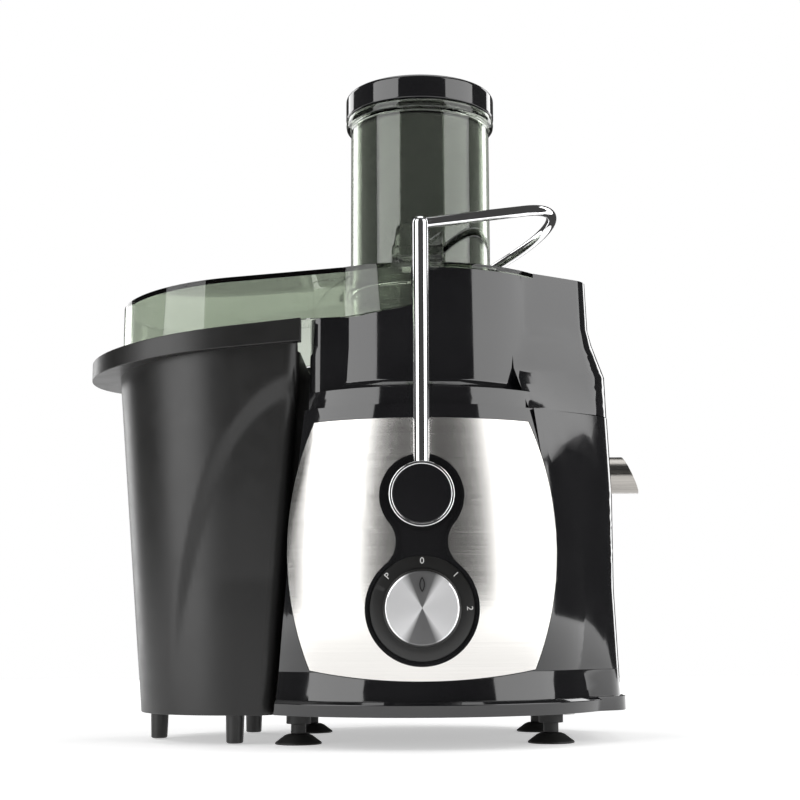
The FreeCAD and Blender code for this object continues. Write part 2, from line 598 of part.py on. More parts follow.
def pulp_bin():
    """Tapered bin with a flat-faced rim and three peg feet."""
    right = BIN_FACE[0][0] - 0.2
    body = tapered_d(BIN_FLOOR_Z, 224.0)
    body = body.common(below_plane(-63.0, 222.0, 0.1))
    band = rim_outline(3.5).extrude(V(0, 0, 260))
    band = band.common(below_plane(-63.0, 224.9, 0.11))
    band = band.cut(below_plane(-63.0, 212.3, 0.09))
    band = band.common(block(-FAR, right, -FAR, FAR, 0, FAR))
    shell = union([body, band])
    shell = shell.cut(tapered_d(BIN_FLOOR_Z + SHELL, 223.99, SHELL))
    opening = prism_xy(d_outline(BIN_CENTRE_X, BIN_HALF_WIDTH - 2.6, right - 2.2, 6.0), 195.0, 260.0)
    shell = shell.cut(opening.cut(below_plane(-63.0, 210.0, 0.1)))
    # the wall towards the bowl is low, so that pulp falls in and the bin slides out under the lid
    mouth = BIN_HALF_WIDTH - SHELL
    shell = shell.cut(block(-76.0, -50.0, -mouth, mouth, BIN_LOW_WALL_Z, FAR))
    for x, y in ((-148.0, 0.0), (-100.0, -45.0), (-100.0, 45.0)):
        shell = shell.fuse(rod(5.0, V(x, y, 0.5), V(x, y, BIN_FLOOR_Z + 1.0)))
    return shell.removeSplitter()


# ---------------------------------------------------------------- locking bail


def bail():
    """Two arms and a raised loop round the chute, as one bent and welded rod."""
    stretch = math.hypot(1.0, LOOP_SLOPE)
    centre_u = LOOP_NOSE_X * stretch - LOOP_NOSE_R

    def place(u, y):
        return V(u / stretch, y, BAIL_TOP_Z + LOOP_SLOPE * u / stretch)
    start = (0.0, -BAIL_Y)
    reach = math.hypot(centre_u, BAIL_Y)
    aim = math.atan2(BAIL_Y, centre_u) - math.asin(LOOP_NOSE_R / reach)
    run = math.sqrt(reach ** 2 - LOOP_NOSE_R ** 2)
    touch = (start[0] + run * math.cos(aim), start[1] + run * math.sin(aim))
    tip = place(centre_u + LOOP_NOSE_R, 0.0)
    path = Part.Wire([
        Part.makeLine(place(*start), place(*touch)),
        Part.Arc(place(*touch), tip, place(touch[0], -touch[1])).toShape(),
        Part.makeLine(place(touch[0], -touch[1]), place(start[0], -start[1]))])
    first = place(*touch).sub(place(*start))
    section = Part.Wire([Part.Circle(place(*start), first, LOOP_R).toShape()])
    pieces = [path.makePipeShell([section], True, False)]
    for side in (-1, 1):
        y = side * BAIL_Y
        pieces.append(rod(ARM_R, V(0, y, PIVOT_Z + 9.0), V(0, y, BAIL_TOP_Z)))
        pieces.append(Part.makeSphere(ARM_R, V(0, y, BAIL_TOP_Z)))
        tip = V(0, side * STUB_END_Y, BAIL_TOP_Z)
        pieces.append(rod(STUB_R, V(0, y, BAIL_TOP_Z), tip))
        pieces.append(Part.makeSphere(STUB_R, tip))
    return union(pieces)


def pivot_hub(side):
    """Disc on the pivot with its pin; the arm plugs into its rim."""
    outline = [(0, 86.0), (5.0, 86.0), (5.0, 105.5), (16.2, 105.5), (16.6, 106.2), (16.6, 116.4),
               (0, 116.4)]
    hub = turned_y([(r, y * side) for r, y in outline], 0, PIVOT_Z)
    socket = rod(ARM_R, V(0, side * BAIL_Y, PIVOT_Z + 9.0), V(0, side * BAIL_Y, PIVOT_Z + 40))
    return hub.cut(socket)


def hub_ring(side):
    """Bright ring round the face of the hub."""
    y0, y1 = sorted((side * 116.4, side * 117.8))
    return ring_y(16.4, 14.8, y0, y1, 0, PIVOT_Z)


def hub_cap(side):
    """Black cover disc inside the ring."""
    y0, y1 = sorted((side * 116.4, side * 117.5))
    return rod(14.75, V(0, y0, PIVOT_Z), V(0, y1, PIVOT_Z))


# ---------------------------------------------------------------- speed knob
def knob_body():
    """Knob with its shaft into the switch."""
    return turned_y([(0, -80.0), (3.0, -80.0), (3.0, -108.0), (19.4, -108.0), (19.4, -115.6),
                     (18.6, -116.8), (0, -116.8)], 0, DIAL_Z)


def knob_face():
    """Spun metal face of the knob."""
    return turned_y([(0, -116.8), (18.3, -116.8), (18.3, -117.2), (17.6, -117.6), (0, -117.6)],
                    0, DIAL_Z)


def knob_pointer():
    """Slim raised outline that shows the setting."""
    outer = pointer_outline(1.4, 3.8)
    inner = pointer_outline(0.8, 2.8)
    body = prism_xz(outer, FRONT_Y, -117.6)
    return body.cut(prism_xz(inner, FRONT_Y - 1, -117.0))


def pointer_outline(half_width, half_height):
    """Pointed oval near the top of the knob's face."""
    z = DIAL_Z + 11.5
    return [(0, z - half_height), (half_width, z, 0, z + half_height),
            (-half_width, z, 0, z - half_height)]


def rotary_switch():
    """Switch body behind the dial."""
    body = block(-14, 14, -92.0, -76.0, DIAL_Z - 14, DIAL_Z + 14)
    return body.cut(rod(3.0 + RUN_GAP, V(0, -100, DIAL_Z), V(0, -79.0, DIAL_Z)))


# ---------------------------------------------------------------- motor


def stator_core():
    """Laminated ring of the universal motor."""
    core = ring(40.0, 23.0, 88.0, 132.0)
    for side in (-1, 1):
        x0, x1 = sorted((side * 34.0, side * 45.0))
        core = core.cut(block(x0, x1, -45, 45, 80, 140))
    return core


def field_coils():
    """Two windings over the ends of the laminations."""
    coils = []
    for z0, z1 in ((80.0, 87.9), (132.1, 140.0)):
        coils.append(ring(34.0, 24.0, z0, z1))
    return Part.Compound(coils)


def bracket(z0, z1, bore, reach):
    """Bridge across the motor that carries a bearing."""
    bar = block(-14, 14, -reach, reach, z0, z1)
    hub = rod(17.0, V(0, 0, z0), V(0, 0, z1))
    plate = union([bar, hub])
    return plate.cut(rod(bore, V(0, 0, z0 - 5), V(0, 0, z1 + 5)))


def bearing(z0, z1):
    """Plain bearing bush on the shaft."""
    return ring(11.0, SHAFT_R + RUN_GAP, z0, z1)


def brush_holder(side):
    """Carbon brush in its holder, beside the commutator."""
    x0, x1 = sorted((side * 12.5, side * 32.0))
    return block(x0, x1, -4.0, 4.0, 144.0, 151.0)


def motor_shaft():
    """Shaft from the lower bearing up to the coupling."""
    return rod(SHAFT_R, V(0, 0, 50.0), V(0, 0, 192.0))


def armature():
    """Slotted armature core on the shaft."""
    core = ring(21.8, SHAFT_R, 88.0, 132.0)
    slot_count = 12
    for index in range(slot_count):
        slot = block(17.0, 25.0, -1.4, 1.4, 80, 140)
        slot.rotate(V(0, 0, 0), V(0, 0, 1), 360.0 * index / slot_count)
        core = core.cut(slot)
    return core


def commutator():
    """Copper commutator above the armature."""
    return ring(11.8, SHAFT_R, 142.0, 153.0)


def fan():
    """Cooling fan under the armature."""
    blade_count = 8
    wheel = ring(33.0, SHAFT_R, 68.0, 70.0)
    for index in range(blade_count):
        blade = block(9.0, 33.0, -0.8, 0.8, 69.0, 77.0)
        blade.rotate(V(0, 0, 0), V(0, 0, 1), 360.0 * index / blade_count)
        wheel = wheel.fuse(blade)
    return wheel.removeSplitter()


def drive_coupling():
    """Toothed coupling between the shaft and the basket."""
    body = ring(8.6, SHAFT_R, 180.0, 196.0)
    for index in range(6):
        tooth = rod(1.2, V(6.6, 0, 194.0), V(6.6, 0, 199.0))
        tooth.rotate(V(0, 0, 0), V(0, 0, 1), 60.0 * index)
        body = body.fuse(tooth)
    return body.removeSplitter()


# ---------------------------------------------------------------- strainer basket


def basket_hub():
    """Moulded hub of the basket."""
    hub = turned([(0, 199.1), (17.5, 199.1), (17.5, 194.4), (20.0, 194.4), (20.0, 201.5), (0, 201.5)])
    return hub


def grater_disc():
    """Steel disc with rings of small teeth."""
    disc = Part.makeCylinder(BASKET_FOOT_R, 0.8, V(0, 0, BASKET_Z))
    teeth = []
    for row in range(4):
        radius = 13.0 + 7.0 * row
        count = 8 + 6 * row
        for index in range(count):
            angle = 2 * math.pi * (index + 0.5 * row) / count
            foot = V(radius * math.cos(angle), radius * math.sin(angle), BASKET_Z + 0.7)
            teeth.append(Part.makeCone(1.2, 0.3, 1.9, foot))
    return disc.multiFuse(teeth).removeSplitter()


def strainer_cone():
    """Fine mesh cone, as a thin wall."""
    return turned([(BASKET_FOOT_R, BASKET_Z), (BASKET_FOOT_R + 0.9, BASKET_Z),
                   (BASKET_TOP_R, BASKET_TOP_Z), (BASKET_TOP_R - 0.9, BASKET_TOP_Z + 0.6)])


def basket_rim():
    """Stiff ring at the top of the cone."""
    top = BASKET_TOP_R
    z = BASKET_TOP_Z
    return turned([(top - 0.9, z + 0.7), (top + 0.1, z + 0.1), (top + 5.0, z + 0.1),
                   (top + 5.0, z + 3.0), (top - 3.0, z + 3.0), (top - 3.0, z + 0.7)])


# ---------------------------------------------------------------- all pieces
def main():
    """Builds and saves every piece."""
    os.makedirs("parts", exist_ok=True)
    save("plinth", plinth())
    save("base_plate", base_plate())
    save("motor_housing", motor_housing())
    save("front_panel", front_panel())
    save("control_bezel", control_bezel())
    save("dial_ring", dial_ring())
    save("rear_boss", rear_boss())
    corners = ("rear_left", "front_left", "rear_right", "front_right")
    places = sorted(foot_places(), key=lambda place: (place[0], -place[1]))
    for corner, (x, y) in zip(corners, places):
        save("foot_stem_" + corner, suction_foot_stem(x, y))
        save("suction_cup_" + corner, suction_cup(x, y))
    save("base_screws", base_screws())
    save("cord_inlet", cord_inlet())
    save("juice_bowl", juice_bowl())
    save("bowl_seal", bowl_seal())
    save("spout", spout())
    save("spout_collar", spout_collar())
    save("lid", lid_shape())
    save("chute", chute())
    save("pusher_body", pusher_body())
    save("pusher_cap", pusher_cap())
    save("pulp_bin", pulp_bin())
    save("locking_bail", bail())
    for name, side in (("front", -1), ("rear", 1)):
        save("hub_" + name, pivot_hub(side))
        save("hub_ring_" + name, hub_ring(side))
        save("hub_cap_" + name, hub_cap(side))
    save("knob_body", knob_body())
    save("knob_face", knob_face())
    save("knob_pointer", knob_pointer())
    save("rotary_switch", rotary_switch())
    save("stator_core", stator_core())
    save("field_coils", field_coils())
    save("bracket_lower", bracket(54.0, 60.0, 11.0, 60.0))
    save("bracket_upper", bracket(160.0, 166.0, 11.0, 50.0))
    save("bearing_lower", bearing(53.0, 61.0))
    save("bearing_upper", bearing(159.0, 167.0))
    save("brush_left", brush_holder(-1))
    save("brush_right", brush_holder(1))
    save("motor_shaft", motor_shaft())
    save("armature", armature())
    save("commutator", commutator())
    save("fan", fan())
    save("drive_coupling", drive_coupling())
    save("basket_hub", basket_hub())
    save("grater_disc", grater_disc())
    save("strainer_cone", strainer_cone())
    save("basket_rim", basket_rim())


main()
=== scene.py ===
import json
import math

import bmesh
import bpy
from mathutils import Matrix, Vector


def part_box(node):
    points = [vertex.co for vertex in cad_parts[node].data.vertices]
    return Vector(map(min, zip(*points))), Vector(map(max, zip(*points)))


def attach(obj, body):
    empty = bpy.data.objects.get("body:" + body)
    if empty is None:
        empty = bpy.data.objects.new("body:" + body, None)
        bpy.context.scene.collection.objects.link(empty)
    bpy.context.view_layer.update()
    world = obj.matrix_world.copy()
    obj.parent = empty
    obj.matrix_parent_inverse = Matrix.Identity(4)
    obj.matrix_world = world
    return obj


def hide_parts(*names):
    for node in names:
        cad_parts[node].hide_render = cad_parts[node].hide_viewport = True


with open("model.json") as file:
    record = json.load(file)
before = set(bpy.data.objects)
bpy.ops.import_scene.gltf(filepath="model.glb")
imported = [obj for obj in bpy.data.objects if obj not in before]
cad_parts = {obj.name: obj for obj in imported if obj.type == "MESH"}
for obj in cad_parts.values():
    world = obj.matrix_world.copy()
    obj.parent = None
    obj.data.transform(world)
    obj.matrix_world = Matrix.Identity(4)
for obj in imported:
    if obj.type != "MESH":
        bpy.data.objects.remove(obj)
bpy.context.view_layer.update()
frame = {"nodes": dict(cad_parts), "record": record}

MM = 0.001


# ---------------------------------------------------------------- places read from the frame
def middle(node):
    """Centre of a CAD node's box."""
    low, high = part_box(node)
    return (low + high) / 2


AXIS_X = middle("motor_shaft").x
DIAL_Z = middle("knob_face").z
DIAL_FACE_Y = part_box("dial_ring")[0].y


# pulp bin, in millimetres about the motor axis. Pairs are at the floor and at the top.
BIN_LOW, BIN_TOP = 15.5, 224.0
BIN_FACE_X = (-78.6, -64.0)
BIN_HALF = (59.0, 72.5)
BIN_CENTRE_X = (-98.5, -103.0)
BIN_CORNER = 8.0
BIN_SHELL = 2.6
BIN_MOUTH = 69.9
BIN_LOW_WALL, LOW_WALL_X = 208.0, -76.0
BIN_SIDE_STEPS, BIN_NOSE_STEPS, BIN_CORNER_STEPS = 44, 72, 6
# its flanged rim: end face, half width, reach of the nose, and the sloping planes through SLOPE_X
RIM_FACE_X, RIM_HALF, RIM_NOSE = -64.2, 76.0, 87.0
SLOPE_X = -63.0
WALL_PLANE = (221.9, 0.1)
RIM_UNDER, RIM_OVER = (212.3, 0.09), (224.9, 0.11)
RIM_SIDE_STEPS, RIM_NOSE_STEPS = 12, 96
# rows of faces up the outer and inner walls
OUTER_ROWS, INNER_ROWS = 72, 40
# its feet: places, and the height and radius of each ring
PEGS = ((-148.0, 0.0), (-100.0, -45.0), (-100.0, 45.0))
PEG_RINGS = ((0.5, 3.9), (1.1, 4.5), (9.0, 4.8), (15.8, 5.0))
PEG_SIDES = 40
# rounding of its edges, how sharp an edge has to be for it, and to stay crisp (degrees)
BIN_ROUNDING, BIN_ROUNDED_ANGLE, BIN_CREASE = 1.1 * MM, 50.0, 38.0
# the arc pressed into its sides: centre, semi-axes, width of its edge, depth, and fade at the foot
ARC_X, ARC_Z = -63.0, 20.0
ARC_A, ARC_B = 69.4, 170.0
ARC_SOFT, ARC_DEPTH = 5.0, 3.0
ARC_FADE_START, ARC_FADE = 4.0, 70.0

# dial marks: text and turn in degrees; size, relief and radius; slope of the ring they lie on, and
# how far behind its front edge they lie
DIAL_MARKS = (("P", -47.0), ("0", 0.0), ("1", 45.0), ("2", 90.0))
MARK_SIZE, MARK_RELIEF, MARK_RADIUS = 4.6 * MM, 0.06 * MM, 23.6 * MM
MARK_SLOPE = math.radians(14.5)
MARK_SINK = 0.62 * MM

# stage, in metres: half width of the floor, and where its glow starts to rise and is full; then the
# glow near and far, and what the surroundings give as seen and as light
FLOOR_HALF = 1.1
GLOW_START, GLOW_FULL = 0.35, 0.95
GLOW_NEAR, GLOW_FAR = 0.45, 1.0
SURROUND_SEEN, SURROUND_LIGHT = 1.0, 0.06
FLOOR_CELLS = 24

# soft boxes: name, degrees from the front, distance, width, height, height of centre (m), watts
SOFT_BOXES = (("box_left", -54.0, 1.3, 0.95, 1.7, 0.55, 14.0),
              ("box_right", 64.0, 1.3, 1.10, 1.7, 0.55, 15.0),
              ("rim_left", -135.0, 1.4, 0.5, 1.6, 0.5, 7.0),
              ("rim_right", 135.0, 1.4, 0.35, 1.6, 0.5, 6.0))
AIM_Z = 0.2
TOP_SIZE, TOP_POWER, TOP_Y, TOP_Z = 1.2, 7.0, 0.1, 1.7

# camera: lens and sensor in millimetres, shift as a share of the picture, place, turn in degrees
LENS, SENSOR, SHIFT_X = 66.4, 36.0, -0.028
CAMERA_DISTANCE, CAMERA_HEIGHT = 848.0 * MM, 57.4 * MM
CAMERA_TILT, CAMERA_ROLL = 99.0, 0.3


# ---------------------------------------------------------------- materials
# part of 0 to 1 that the noise mostly fills, and cycles per metre of drift, smears and streaks
NOISE_LOW, NOISE_HIGH = 0.3, 0.7
DRIFT_SCALE, SMEAR_SCALE, STREAK_SCALE = 30.0, 90.0, 100.0
# turned face's painted highlight: share of its colour left in the painted shade of the sectors
# above and below, and where the painted fan of light starts and is full
PAINTED_FAN_SHADE, PAINTED_FAN_START, PAINTED_FAN_FULL = 0.20, 0.36, 0.60


def new_material(name):
    """Node material with only a Principled shader; returns the material, its tree and shader."""
    material = bpy.data.materials.new(name)
    material.use_nodes = True
    tree = material.node_tree
    tree.nodes.clear()
    output = tree.nodes.new("ShaderNodeOutputMaterial")
    shader = tree.nodes.new("ShaderNodeBsdfPrincipled")
    tree.links.new(shader.outputs["BSDF"], output.inputs["Surface"])
    return material, tree, shader


def noise(tree, scale, detail=3.0, stretch=(1.0, 1.0, 1.0)):
    """Noise in object space; scale is in cycles per metre, stretch multiplies it on each axis."""
    coords = tree.nodes.new("ShaderNodeTexCoord")
    mapping = tree.nodes.new("ShaderNodeMapping")
    mapping.inputs["Scale"].default_value = stretch
    texture = tree.nodes.new("ShaderNodeTexNoise")
    texture.inputs["Scale"].default_value = scale
    texture.inputs["Detail"].default_value = detail
    tree.links.new(coords.outputs["Object"], mapping.inputs["Vector"])
    tree.links.new(mapping.outputs["Vector"], texture.inputs["Vector"])
    return texture.outputs["Fac"]


def spread(tree, factor, low, high):
    """Maps a 0-1 factor to a range of values."""
    ramp = tree.nodes.new("ShaderNodeMapRange")
    ramp.inputs["From Min"].default_value = NOISE_LOW
    ramp.inputs["From Max"].default_value = NOISE_HIGH
    ramp.inputs["To Min"].default_value = low
    ramp.inputs["To Max"].default_value = high
    tree.links.new(factor, ramp.inputs["Value"])
    return ramp.outputs["Result"]


def two_tone(tree, factor, dark, light):
    """Mixes two colours by a factor."""
    ramp = tree.nodes.new("ShaderNodeValToRGB")
    ramp.color_ramp.elements[0].position = NOISE_LOW
    ramp.color_ramp.elements[0].color = (*dark, 1.0)
    ramp.color_ramp.elements[1].position = NOISE_HIGH
    ramp.color_ramp.elements[1].color = (*light, 1.0)
    tree.links.new(factor, ramp.inputs["Fac"])
    return ramp.outputs["Color"]


def bump(tree, shader, factor, height):
    """Surface relief of a given height in metres."""
    node = tree.nodes.new("ShaderNodeBump")
    node.inputs["Strength"].default_value = 1.0
    node.inputs["Distance"].default_value = height
    tree.links.new(factor, node.inputs["Height"])
    tree.links.new(node.outputs["Normal"], shader.inputs["Normal"])


def plastic(name, dark, light, rough, grain_scale, grain_height, coat=0.0, ior=1.5):
    """Moulded plastic: slight colour drift, uneven gloss and a fine grain."""
    material, tree, shader = new_material(name)
    drift = noise(tree, DRIFT_SCALE)
    tree.links.new(two_tone(tree, drift, dark, light), shader.inputs["Base Color"])
    smear = noise(tree, SMEAR_SCALE, detail=4.0)
    tree.links.new(spread(tree, smear, rough[0], rough[1]), shader.inputs["Roughness"])
    bump(tree, shader, noise(tree, grain_scale, detail=2.0), grain_height)
    shader.inputs["Coat Weight"].default_value = coat
    shader.inputs["Coat Roughness"].default_value = 0.03
    shader.inputs["Coat IOR"].default_value = ior
    shader.inputs["IOR"].default_value = ior
    return material


def metal(name, dark, light, rough, streaks, anisotropy=0.0, axis="Z", relief=2e-6):
    """Metal with streaks along its brushing; streaks stretches the noise along each axis."""
    material, tree, shader = new_material(name)
    shader.inputs["Metallic"].default_value = 1.0
    lines = noise(tree, STREAK_SCALE, detail=5.0, stretch=streaks)
    tree.links.new(two_tone(tree, lines, dark, light), shader.inputs["Base Color"])
    tree.links.new(spread(tree, lines, rough[0], rough[1]), shader.inputs["Roughness"])
    bump(tree, shader, lines, relief)
    if anisotropy:
        shader.inputs["Anisotropic"].default_value = anisotropy
        tangent = tree.nodes.new("ShaderNodeTangent")
        tangent.direction_type = "RADIAL"
        tangent.axis = axis
        tree.links.new(tangent.outputs["Tangent"], shader.inputs["Tangent"])
    return material


def turned_metal_painted_fan(name, colour, rough, centre, pitch, relief):
    """Lathe-turned face about a Y axis through centre: fine rings, and a painted highlight: the fan
    of light painted into its colour by the angle about the axis.
    """
    material, tree, shader = new_material(name)
    shader.inputs["Metallic"].default_value = 1.0
    coords = tree.nodes.new("ShaderNodeTexCoord")
    flat = tree.nodes.new("ShaderNodeMapping")
    flat.inputs["Location"].default_value = (-centre[0], 0.0, -centre[1])
    flat.inputs["Scale"].default_value = (1.0, 0.0, 1.0)
    tree.links.new(coords.outputs["Object"], flat.inputs["Vector"])
    rings = tree.nodes.new("ShaderNodeTexWave")
    rings.wave_type = "RINGS"
    rings.rings_direction = "SPHERICAL"
    rings.inputs["Scale"].default_value = 1.0 / (math.pi * pitch)
    rings.inputs["Distortion"].default_value = 0.4
    tree.links.new(flat.outputs["Vector"], rings.inputs["Vector"])
    unit = tree.nodes.new("ShaderNodeVectorMath")
    unit.operation = "NORMALIZE"
    tree.links.new(flat.outputs["Vector"], unit.inputs[0])
    parts = tree.nodes.new("ShaderNodeSeparateXYZ")
    tree.links.new(unit.outputs["Vector"], parts.inputs["Vector"])
    sideways = tree.nodes.new("ShaderNodeMath")
    sideways.operation = "ABSOLUTE"
    tree.links.new(parts.outputs["X"], sideways.inputs[0])
    # painted highlight: base colour full where the face lies left or right of the centre, darkened
    # to painted shade in the sectors above and below
    fan = tree.nodes.new("ShaderNodeValToRGB")
    fan.color_ramp.elements[0].position = PAINTED_FAN_START
    fan.color_ramp.elements[0].color = (*[PAINTED_FAN_SHADE * c for c in colour], 1.0)
    fan.color_ramp.elements[1].position = PAINTED_FAN_FULL
    fan.color_ramp.elements[1].color = (*colour, 1.0)
    tree.links.new(sideways.outputs["Value"], fan.inputs["Fac"])
    tree.links.new(fan.outputs["Color"], shader.inputs["Base Color"])
    grain = noise(tree, scale=400.0)
    tree.links.new(spread(tree, grain, rough[0], rough[1]), shader.inputs["Roughness"])
    bump(tree, shader, rings.outputs["Fac"], relief)
    shader.inputs["Anisotropic"].default_value = 0.8
    around = tree.nodes.new("ShaderNodeVectorMath")
    around.operation = "CROSS_PRODUCT"
    around.inputs[1].default_value = (0.0, 1.0, 0.0)
    tree.links.new(flat.outputs["Vector"], around.inputs[0])
    tree.links.new(around.outputs["Vector"], shader.inputs["Tangent"])
    return material


def smoked(name, dark, light, rough):
    """Translucent smoke-coloured plastic."""
    material, tree, shader = new_material(name)
    drift = noise(tree, scale=22.0)
    tree.links.new(two_tone(tree, drift, dark, light), shader.inputs["Base Color"])
    shader.inputs["Transmission Weight"].default_value = 1.0
    shader.inputs["IOR"].default_value = 1.52
    smear = noise(tree, scale=60.0)
    tree.links.new(spread(tree, smear, rough[0], rough[1]), shader.inputs["Roughness"])
    return material


MATERIALS = {
    "gloss_black": plastic("gloss_black", (0.006, 0.006, 0.007), (0.010, 0.010, 0.011),
                           (0.05, 0.09), 700.0, 8e-7, 0.5, 1.55),
    "satin_black": plastic("satin_black", (0.007, 0.0068, 0.0066), (0.010, 0.0097, 0.0094),
                           (0.33, 0.39), 2600.0, 5e-6, ior=1.55),
    "matte_black": plastic("matte_black", (0.014, 0.014, 0.014), (0.024, 0.024, 0.024),
                           (0.5, 0.65), 2200.0, 8e-6),
    "rubber_black": plastic("rubber_black", (0.010, 0.010, 0.010), (0.018, 0.018, 0.017),
                            (0.42, 0.6), 1500.0, 8e-6),
    "brushed_panel": metal("brushed_panel", (0.71, 0.695, 0.67), (0.77, 0.755, 0.73),
                           (0.20, 0.25), (0.05, 0.05, 30.0), 0.75),
    "zinc": metal("zinc", (0.45, 0.45, 0.44), (0.62, 0.62, 0.60), (0.28, 0.42), (1.0, 1.0, 1.0)),
    "spout_steel": metal("spout_steel", (0.36, 0.34, 0.32), (0.50, 0.48, 0.45),
                         (0.18, 0.28), (0.2, 14.0, 14.0), 0.5, "X"),
    "chrome": metal("chrome", (0.82, 0.82, 0.83), (0.90, 0.90, 0.91), (0.02, 0.05),
                    (1.0, 1.0, 1.0), relief=3e-7),
    # knob face: turned metal with a painted highlight, a fan of light painted into its colour
    "spun_aluminium": turned_metal_painted_fan("spun_aluminium", (0.95, 0.95, 0.96), (0.34, 0.38),
                                   (AXIS_X, DIAL_Z), 1.1 * MM, 4e-8),
    "laminations": metal("laminations", (0.22, 0.22, 0.23), (0.34, 0.34, 0.35), (0.35, 0.5),
                         (0.5, 0.5, 22.0)),
    "copper": metal("copper", (0.50, 0.20, 0.10), (0.68, 0.32, 0.18), (0.25, 0.4),
                    (2.0, 2.0, 18.0)),
    "bronze": metal("bronze", (0.42, 0.30, 0.16), (0.55, 0.40, 0.22), (0.3, 0.42),
                    (1.0, 1.0, 1.0)),
    "carbon": plastic("carbon", (0.012, 0.012, 0.012), (0.022, 0.022, 0.022), (0.5, 0.7),
                      1800.0, 6e-6),
    "basket_steel": metal("basket_steel", (0.55, 0.55, 0.54), (0.72, 0.72, 0.70), (0.22, 0.34),
                          (8.0, 8.0, 8.0)),
    "smoke_clear": smoked("smoke_clear", (0.50, 0.545, 0.47), (0.56, 0.60, 0.53), (0.015, 0.04)),
}
WHITE_INK = plastic("white_ink", (0.62, 0.62, 0.61), (0.72, 0.72, 0.71), (0.4, 0.5), 900.0, 1e-6)


# ---------------------------------------------------------------- mesh helpers
# edges sharper than this stay crisp, faces flatter than this are merged (degrees); merge in metres
CREASE_ANGLE, FLAT_ANGLE = 32.0, 0.6
MERGE_DISTANCE = 2e-6


def add_object(name, mesh, body, slot, replaced=()):
    """Puts a finished mesh in the scene as a piece that rides on a body."""
    piece = bpy.data.objects.new(name, mesh)
    bpy.context.scene.collection.objects.link(piece)
    if not mesh.materials:
        mesh.materials.append(MATERIALS[slot])
    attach(piece, body)
    if replaced:
        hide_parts(*replaced)
    return piece


def smooth(mesh, angle=CREASE_ANGLE):
    """Smooth shading, with edges sharper than the angle kept crisp."""
    for face in mesh.polygons:
        face.use_smooth = True
    mesh.set_sharp_from_angle(angle=math.radians(angle))


def softened(node, width, segments=2):
    """Copy of a CAD node whose edges are rounded as moulding or pressing leaves them."""
    build = bmesh.new()
    build.from_mesh(frame["nodes"][node].data)
    bmesh.ops.remove_doubles(build, verts=build.verts, dist=MERGE_DISTANCE)
    bmesh.ops.dissolve_limit(build, angle_limit=math.radians(FLAT_ANGLE), verts=build.verts,
                             edges=build.edges)
    mesh = bpy.data.meshes.new(node + "_skin")
    build.to_mesh(mesh)
    build.free()
    mesh.materials.clear()
    piece = add_object(node + "_skin", mesh, NODE_BODY[node], NODE_SLOT[node], (node,))
    rounding = piece.modifiers.new("rounding", "BEVEL")
    rounding.width = width
    rounding.segments = segments
    rounding.limit_method = "ANGLE"
    rounding.angle_limit = math.radians(CREASE_ANGLE)
    rounding.use_clamp_overlap = True
    rounding.miter_outer = "MITER_ARC"
    smooth(mesh)
    weights = piece.modifiers.new("weights", "WEIGHTED_NORMAL")
    weights.keep_sharp = True


NODE_BODY = {node: body for body, nodes in frame["record"]["behaviour"]["bodies"].items()
             for node in nodes}
NODE_SLOT = {part["node"]: part["material_slot"] for part in frame["record"]["subparts"]}


def paint_cad_nodes():
    """Gives each CAD node the finish of its slot."""
    for node, item in frame["nodes"].items():
        item.data.materials.clear()
        item.data.materials.append(MATERIALS[NODE_SLOT[node]])
        smooth(item.data)


# ---------------------------------------------------------------- pieces
def shells():
    """Moulded and pressed shells with rounded edges."""
    softened("motor_housing", 0.6 * MM, 3)
    softened("plinth", 0.7 * MM, 3)
    softened("juice_bowl", 0.7 * MM, 3)
    softened("front_panel", 0.25 * MM)
    softened("control_bezel", 0.6 * MM, 4)
    softened("dial_ring", 0.3 * MM)
    softened("rear_boss", 0.5 * MM, 3)
    softened("lid", 0.8 * MM, 3)
    softened("chute", 0.7 * MM, 3)
    softened("pusher_cap", 0.6 * MM, 3)
    softened("pusher_body", 0.5 * MM)
    softened("spout", 0.3 * MM)
    softened("spout_collar", 0.5 * MM, 3)
    softened("knob_body", 0.4 * MM, 3)
    softened("knob_face", 0.2 * MM)
    for side in ("front", "rear"):
        softened("hub_" + side, 0.5 * MM, 3)
        softened("hub_ring_" + side, 0.4 * MM, 3)
        softened("hub_cap_" + side, 0.35 * MM, 3)
        for hand in ("left", "right"):
            softened("suction_cup_" + side + "_" + hand, 0.4 * MM, 3)
            softened("foot_stem_" + side + "_" + hand, 0.4 * MM, 3)


def at(x, y, z):
    """A place in metres from one in millimetres about the motor axis."""
    return Vector((AXIS_X + x * MM, y * MM, z * MM))


def plane(x, base, slope):
    """Height at x of a plane that slopes along the machine."""
    return base + slope * (x - SLOPE_X)


def clamp(value):
    """Holds a value between 0 and 1."""
    return min(max(value, 0.0), 1.0)


